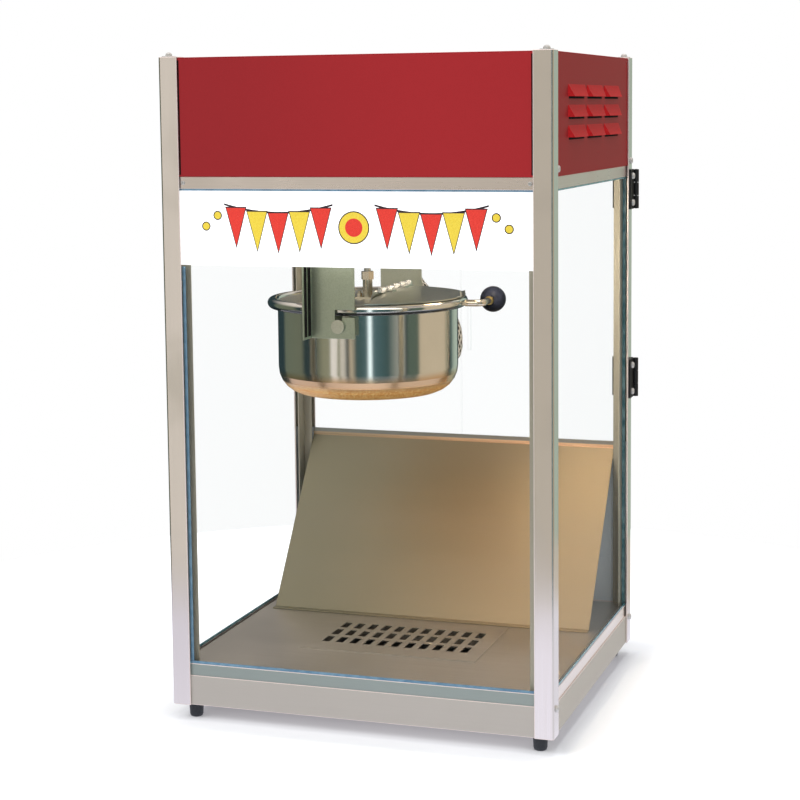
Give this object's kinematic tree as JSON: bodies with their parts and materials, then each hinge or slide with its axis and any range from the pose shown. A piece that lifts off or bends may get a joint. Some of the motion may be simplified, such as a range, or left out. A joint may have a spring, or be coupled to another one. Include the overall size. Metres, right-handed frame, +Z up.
{
  "type": "popcorn maker",
  "caption": "Countertop popcorn maker: glazed cabinet on corner posts, painted dome with louvres, tipping kettle hung inside, clear rear doors, sloping ramp, sifter and kernel drawer.",
  "frame": {"origin": "on the surface the feet stand on, under the middle of the overall box", "axes": "+X to the cabinet's right seen from the front, +Y to the rear where the operator stands, +Z up"},
  "size_m": [0.463, 0.426, 0.758],
  "materials": {
    "angle_metal": "satin",
    "bare_steel": "satin",
    "base_steel": "satin",
    "black_metal": "satin",
    "black_phenolic": "gloss",
    "black_plastic": "matt",
    "black_rubber": "matt",
    "braided_lead": "braided",
    "brass": "satin",
    "bright_steel": "polished",
    "clear_acrylic": "clear",
    "clear_glass": "clear",
    "dark_steel": "matt",
    "frosted_glass": "frosted",
    "kettle_steel": "polished",
    "motor_grey": "satin",
    "porcelain": "glazed",
    "red_paint": "gloss",
    "white_board": "satin"
  },
  "bodies": {
    "cabinet": {"post_front_left": "bare_steel", "post_front_right": "bare_steel", "post_rear_left": "bare_steel", "post_rear_right": "bare_steel", "feet": "black_rubber", "base_plate": "base_steel", "skirt_front": "base_steel", "skirt_left": "base_steel", "skirt_right": "base_steel", "skirt_rear": "base_steel", "sill_rails": "base_steel", "header_rails": "base_steel", "dome_front": "red_paint", "dome_left": "red_paint", "dome_right": "red_paint", "dome_rear": "red_paint", "dome_lid": "red_paint", "post_nuts": "bright_steel", "frame_screws": "bright_steel", "ceiling_plate": "bare_steel", "glass_front": "clear_glass", "glass_left": "clear_glass", "glass_right": "clear_glass", "glass_angles": "angle_metal", "sign_panel": "white_board", "rear_panel": "base_steel", "ramp": "bare_steel", "floor_deck": "bare_steel", "hinge_post_leaves": "black_metal", "magnetic_catches": "black_plastic", "gear_motor": "motor_grey", "hanger_front": "bare_steel", "hanger_rear": "bare_steel", "kettle_lead": "braided_lead", "lead_receptacle": "black_plastic", "lamp_socket": "porcelain", "bulb": "frosted_glass", "cord_gland": "black_plastic", "switch_frames": "black_plastic"},
    "sifter": {"sifter_plate": "bare_steel"},
    "drawer": {"kernel_drawer": "base_steel"},
    "left_door": {"door_left": "clear_acrylic", "door_fittings_left": "black_metal"},
    "right_door": {"door_right": "clear_acrylic", "door_fittings_right": "black_metal"},
    "drive": {"drive_coupling": "brass"},
    "kettle": {"kettle_shell": "kettle_steel", "kettle_pan": "kettle_steel", "heating_element": "dark_steel", "trunnion_pins": "bright_steel", "lid_fixed": "kettle_steel", "lid_pin": "bright_steel", "shaft_bearing": "brass", "handle_rod": "brass", "ball_knob": "black_phenolic"},
    "flap": {"lid_flap": "kettle_steel"},
    "stirrer": {"agitator": "bright_steel"},
    "light_switch": {"rocker_light": "black_phenolic"},
    "motor_switch": {"rocker_motor": "black_phenolic"},
    "kettle_switch": {"rocker_kettle": "black_phenolic"}
  },
  "joints": [
    {"name": "sifter_lift", "type": "slide", "parent": "cabinet", "child": "sifter", "axis": [0, 0, 1], "range_m": [0, 0.04]},
    {"name": "drawer_slide", "type": "slide", "parent": "cabinet", "child": "drawer", "axis": [0, 1, 0], "range_m": [0, 0.15]},
    {"name": "left_door_hinge", "type": "hinge", "parent": "cabinet", "child": "left_door", "pos_m": [-0.228, 0.2015, 0.44], "axis": [0, 0, 1], "range_deg": [0, 110]},
    {"name": "right_door_hinge", "type": "hinge", "parent": "cabinet", "child": "right_door", "pos_m": [0.228, 0.2015, 0.44], "axis": [0, 0, -1], "range_deg": [0, 110]},
    {"name": "motor_spin", "type": "hinge", "parent": "cabinet", "child": "drive", "pos_m": [-0.054, -0.008, 0.6], "axis": [0, 0, 1], "continuous": true},
    {"name": "kettle_tilt", "type": "hinge", "parent": "cabinet", "child": "kettle", "pos_m": [-0.0455, -0.008, 0.449], "axis": [0, 1, 0], "range_deg": [0, 95], "deforming": ["kettle_lead"]},
    {"name": "lid_flap_hinge", "type": "hinge", "parent": "kettle", "child": "flap", "pos_m": [-0.02, -0.008, 0.4841], "axis": [0, -1, 0], "range_deg": [0, 95]},
    {"name": "agitator_spin", "type": "hinge", "parent": "kettle", "child": "stirrer", "pos_m": [-0.054, -0.008, 0.45], "axis": [0, 0, 1], "continuous": true},
    {"name": "light_rocker", "type": "hinge", "parent": "cabinet", "child": "light_switch", "pos_m": [-0.044, 0.192, 0.687], "axis": [1, 0, 0], "range_deg": [0, 16]},
    {"name": "motor_rocker", "type": "hinge", "parent": "cabinet", "child": "motor_switch", "pos_m": [0, 0.192, 0.687], "axis": [1, 0, 0], "range_deg": [0, 16]},
    {"name": "kettle_rocker", "type": "hinge", "parent": "cabinet", "child": "kettle_switch", "pos_m": [0.044, 0.192, 0.687], "axis": [1, 0, 0], "range_deg": [0, 16]}
  ],
  "couplings": [
    {"joint": "agitator_spin", "follows": "motor_spin", "ratio": 1}
  ]
}
